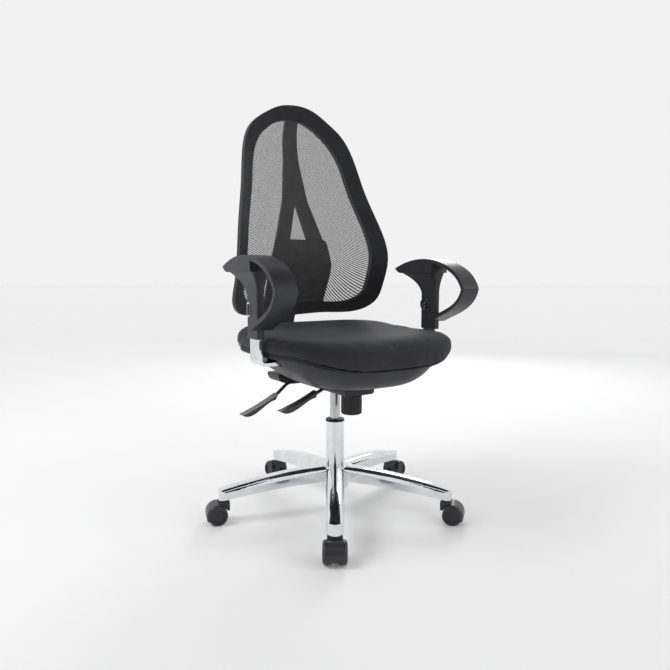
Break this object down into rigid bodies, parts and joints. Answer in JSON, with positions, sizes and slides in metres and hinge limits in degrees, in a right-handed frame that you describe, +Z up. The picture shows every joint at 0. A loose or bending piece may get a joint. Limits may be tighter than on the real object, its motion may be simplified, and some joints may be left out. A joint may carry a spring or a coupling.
{
  "type": "swivel office chair",
  "caption": "Swivel office chair: pear-shaped mesh back, upholstered seat, looped height-adjustable arms, gas column and chromed star base on twin-wheel casters.",
  "frame": {"origin": "on the floor, on the gas column's axis", "axes": "+Z up; the sitter faces -Y; +X is the sitter's left"},
  "size_m": [0.6867, 0.6655, 1.1396],
  "materials": {
    "chrome": "polished",
    "black_plastic": "satin, fine grain",
    "lever_plastic": "semi-gloss",
    "grey_steel": "satin grey",
    "steel": "machined",
    "black_steel": "black powder coat",
    "cover_plastic": "matte, fine grain",
    "plywood": "raw moulded plywood",
    "seat_fabric": "dark charcoal woven fabric",
    "arm_plastic": "matte grey-black",
    "frame_fabric": "black fabric over the moulded frame",
    "mesh_fabric": "open black mesh",
    "spine_plastic": "matte black",
    "caster_plastic": "anthracite",
    "caster_wheel": "soft anthracite tread"
  },
  "bodies": {
    "base": {"star_base": "chrome", "stem_sockets": "steel", "column_tube": "chrome", "column_bush": "black_plastic", "thrust_bearing": "steel"},
    "piston": {"piston_rod": "steel", "rod_clip": "steel", "bearing_upper_race": "steel"},
    "seat": {"gas_tube": "grey_steel", "mechanism_housing": "black_steel", "recline_pin": "steel", "recline_springs": "steel", "seat_plate": "black_steel", "seat_board": "plywood", "seat_cushion": "seat_fabric", "seat_cover": "cover_plastic", "seat_screws": "steel", "arm_bracket_right": "chrome", "arm_bracket_left": "chrome"},
    "valve": {"valve_pin": "steel"},
    "height_lever": {"height_lever_rod": "black_steel", "height_lever_grip": "lever_plastic"},
    "lock_lever": {"lock_lever_rod": "black_steel", "lock_lever_grip": "lever_plastic"},
    "knob": {"tension_knob": "black_plastic", "tension_screw": "steel"},
    "back": {"back_bar": "black_steel", "backrest_frame": "frame_fabric", "back_spine": "spine_plastic", "lumbar_pad": "black_plastic", "back_mesh": "mesh_fabric", "back_screws": "steel"},
    "arm_right": {"arm_sleeve_right": "arm_plastic", "armrest_right": "arm_plastic", "arm_trim_right": "chrome"},
    "arm_button_right": {"arm_button_right": "arm_plastic"},
    "arm_left": {"arm_sleeve_left": "arm_plastic", "armrest_left": "arm_plastic", "arm_trim_left": "chrome"},
    "arm_button_left": {"arm_button_left": "arm_plastic"},
    "caster_1": {"caster_hood_1": "caster_plastic", "caster_pins_1": "steel"},
    "wheel_1a": {"caster_wheel_1a": "caster_wheel"},
    "wheel_1b": {"caster_wheel_1b": "caster_wheel"},
    "caster_2": {"caster_hood_2": "caster_plastic", "caster_pins_2": "steel"},
    "wheel_2a": {"caster_wheel_2a": "caster_wheel"},
    "wheel_2b": {"caster_wheel_2b": "caster_wheel"},
    "caster_3": {"caster_hood_3": "caster_plastic", "caster_pins_3": "steel"},
    "wheel_3a": {"caster_wheel_3a": "caster_wheel"},
    "wheel_3b": {"caster_wheel_3b": "caster_wheel"},
    "caster_4": {"caster_hood_4": "caster_plastic", "caster_pins_4": "steel"},
    "wheel_4a": {"caster_wheel_4a": "caster_wheel"},
    "wheel_4b": {"caster_wheel_4b": "caster_wheel"},
    "caster_5": {"caster_hood_5": "caster_plastic", "caster_pins_5": "steel"},
    "wheel_5a": {"caster_wheel_5a": "caster_wheel"},
    "wheel_5b": {"caster_wheel_5b": "caster_wheel"}
  },
  "joints": [
    {"name": "seat_swivel", "type": "hinge", "parent": "base", "child": "piston", "pos_m": [0, 0, 0.047], "axis": [0, 0, 1], "continuous": true},
    {"name": "seat_height", "type": "slide", "parent": "piston", "child": "seat", "axis": [0, 0, 1], "range_m": [-0.055, 0.065]},
    {"name": "valve_press", "type": "slide", "parent": "seat", "child": "valve", "axis": [0, 0, -1], "range_m": [0, 0.0048]},
    {"name": "height_lever", "type": "hinge", "parent": "seat", "child": "height_lever", "pos_m": [-0.0445, 0.045, 0.3595], "axis": [0, 1, 0], "range_deg": [0, 5], "stiffness_Nm_per_rad": 4, "springref_deg": -2.86},
    {"name": "lock_lever", "type": "hinge", "parent": "seat", "child": "lock_lever", "pos_m": [-0.0445, -0.075, 0.3595], "axis": [0, 1, 0], "range_deg": [0, 5]},
    {"name": "tension_knob", "type": "hinge", "parent": "seat", "child": "knob", "pos_m": [0, -0.08, 0.3085], "axis": [0, 0, 1], "range_deg": [-1080, 1080]},
    {"name": "back_recline", "type": "hinge", "parent": "seat", "child": "back", "pos_m": [0, 0.09, 0.3545], "axis": [-1, 0, 0], "range_deg": [0, 20]},
    {"name": "arm_height_right", "type": "slide", "parent": "seat", "child": "arm_right", "axis": [0, 0, 1], "range_m": [-0.022, 0.05]},
    {"name": "arm_button_right", "type": "slide", "parent": "arm_right", "child": "arm_button_right", "axis": [1, 0, 0], "range_m": [0, 0.0024], "stiffness_N_per_m": 800, "springref_m": -0.001},
    {"name": "arm_height_left", "type": "slide", "parent": "seat", "child": "arm_left", "axis": [0, 0, 1], "range_m": [-0.022, 0.05]},
    {"name": "arm_button_left", "type": "slide", "parent": "arm_left", "child": "arm_button_left", "axis": [-1, 0, 0], "range_m": [0, 0.0024], "stiffness_N_per_m": 800, "springref_m": -0.001},
    {"name": "caster_swivel_1", "type": "hinge", "parent": "base", "child": "caster_1", "pos_m": [-0.1663, -0.25805, 0.075], "axis": [0, 0, 1], "continuous": true},
    {"name": "wheel_spin_1a", "type": "hinge", "parent": "caster_1", "child": "wheel_1a", "pos_m": [-0.17605, -0.27318, 0.025], "axis": [0.8406, -0.5417, 0], "continuous": true},
    {"name": "wheel_spin_1b", "type": "hinge", "parent": "caster_1", "child": "wheel_1b", "pos_m": [-0.17605, -0.27318, 0.025], "axis": [0.8406, -0.5417, 0], "continuous": true},
    {"name": "caster_swivel_2", "type": "hinge", "parent": "base", "child": "caster_2", "pos_m": [0.19403, -0.23791, 0.075], "axis": [0, 0, 1], "continuous": true},
    {"name": "wheel_spin_2a", "type": "hinge", "parent": "caster_2", "child": "wheel_2a", "pos_m": [0.20541, -0.25186, 0.025], "axis": [0.7749, 0.632, 0], "continuous": true},
    {"name": "wheel_spin_2b", "type": "hinge", "parent": "caster_2", "child": "wheel_2b", "pos_m": [0.20541, -0.25186, 0.025], "axis": [0.7749, 0.632, 0], "continuous": true},
    {"name": "caster_swivel_3", "type": "hinge", "parent": "base", "child": "caster_3", "pos_m": [0.28622, 0.11102, 0.075], "axis": [0, 0, 1], "continuous": true},
    {"name": "wheel_spin_3a", "type": "hinge", "parent": "caster_3", "child": "wheel_3a", "pos_m": [0.30301, 0.11753, 0.025], "axis": [-0.3616, 0.9323, 0], "continuous": true},
    {"name": "wheel_spin_3b", "type": "hinge", "parent": "caster_3", "child": "wheel_3b", "pos_m": [0.30301, 0.11753, 0.025], "axis": [-0.3616, 0.9323, 0], "continuous": true},
    {"name": "caster_swivel_4", "type": "hinge", "parent": "base", "child": "caster_4", "pos_m": [-0.01714, 0.30652, 0.075], "axis": [0, 0, 1], "continuous": true},
    {"name": "wheel_spin_4a", "type": "hinge", "parent": "caster_4", "child": "wheel_4a", "pos_m": [-0.01814, 0.32449, 0.025], "axis": [-0.9984, -0.0558, 0], "continuous": true},
    {"name": "wheel_spin_4b", "type": "hinge", "parent": "caster_4", "child": "wheel_4b", "pos_m": [-0.01814, 0.32449, 0.025], "axis": [-0.9984, -0.0558, 0], "continuous": true},
    {"name": "caster_swivel_5", "type": "hinge", "parent": "base", "child": "caster_5", "pos_m": [-0.29681, 0.07842, 0.075], "axis": [0, 0, 1], "continuous": true},
    {"name": "wheel_spin_5a", "type": "hinge", "parent": "caster_5", "child": "wheel_5a", "pos_m": [-0.31422, 0.08302, 0.025], "axis": [-0.2554, -0.9668, 0], "continuous": true},
    {"name": "wheel_spin_5b", "type": "hinge", "parent": "caster_5", "child": "wheel_5b", "pos_m": [-0.31422, 0.08302, 0.025], "axis": [-0.2554, -0.9668, 0], "continuous": true}
  ],
  "couplings": [
    {"joint": "valve_press", "follows": "height_lever", "m_per_rad": 0.0445}
  ]
}
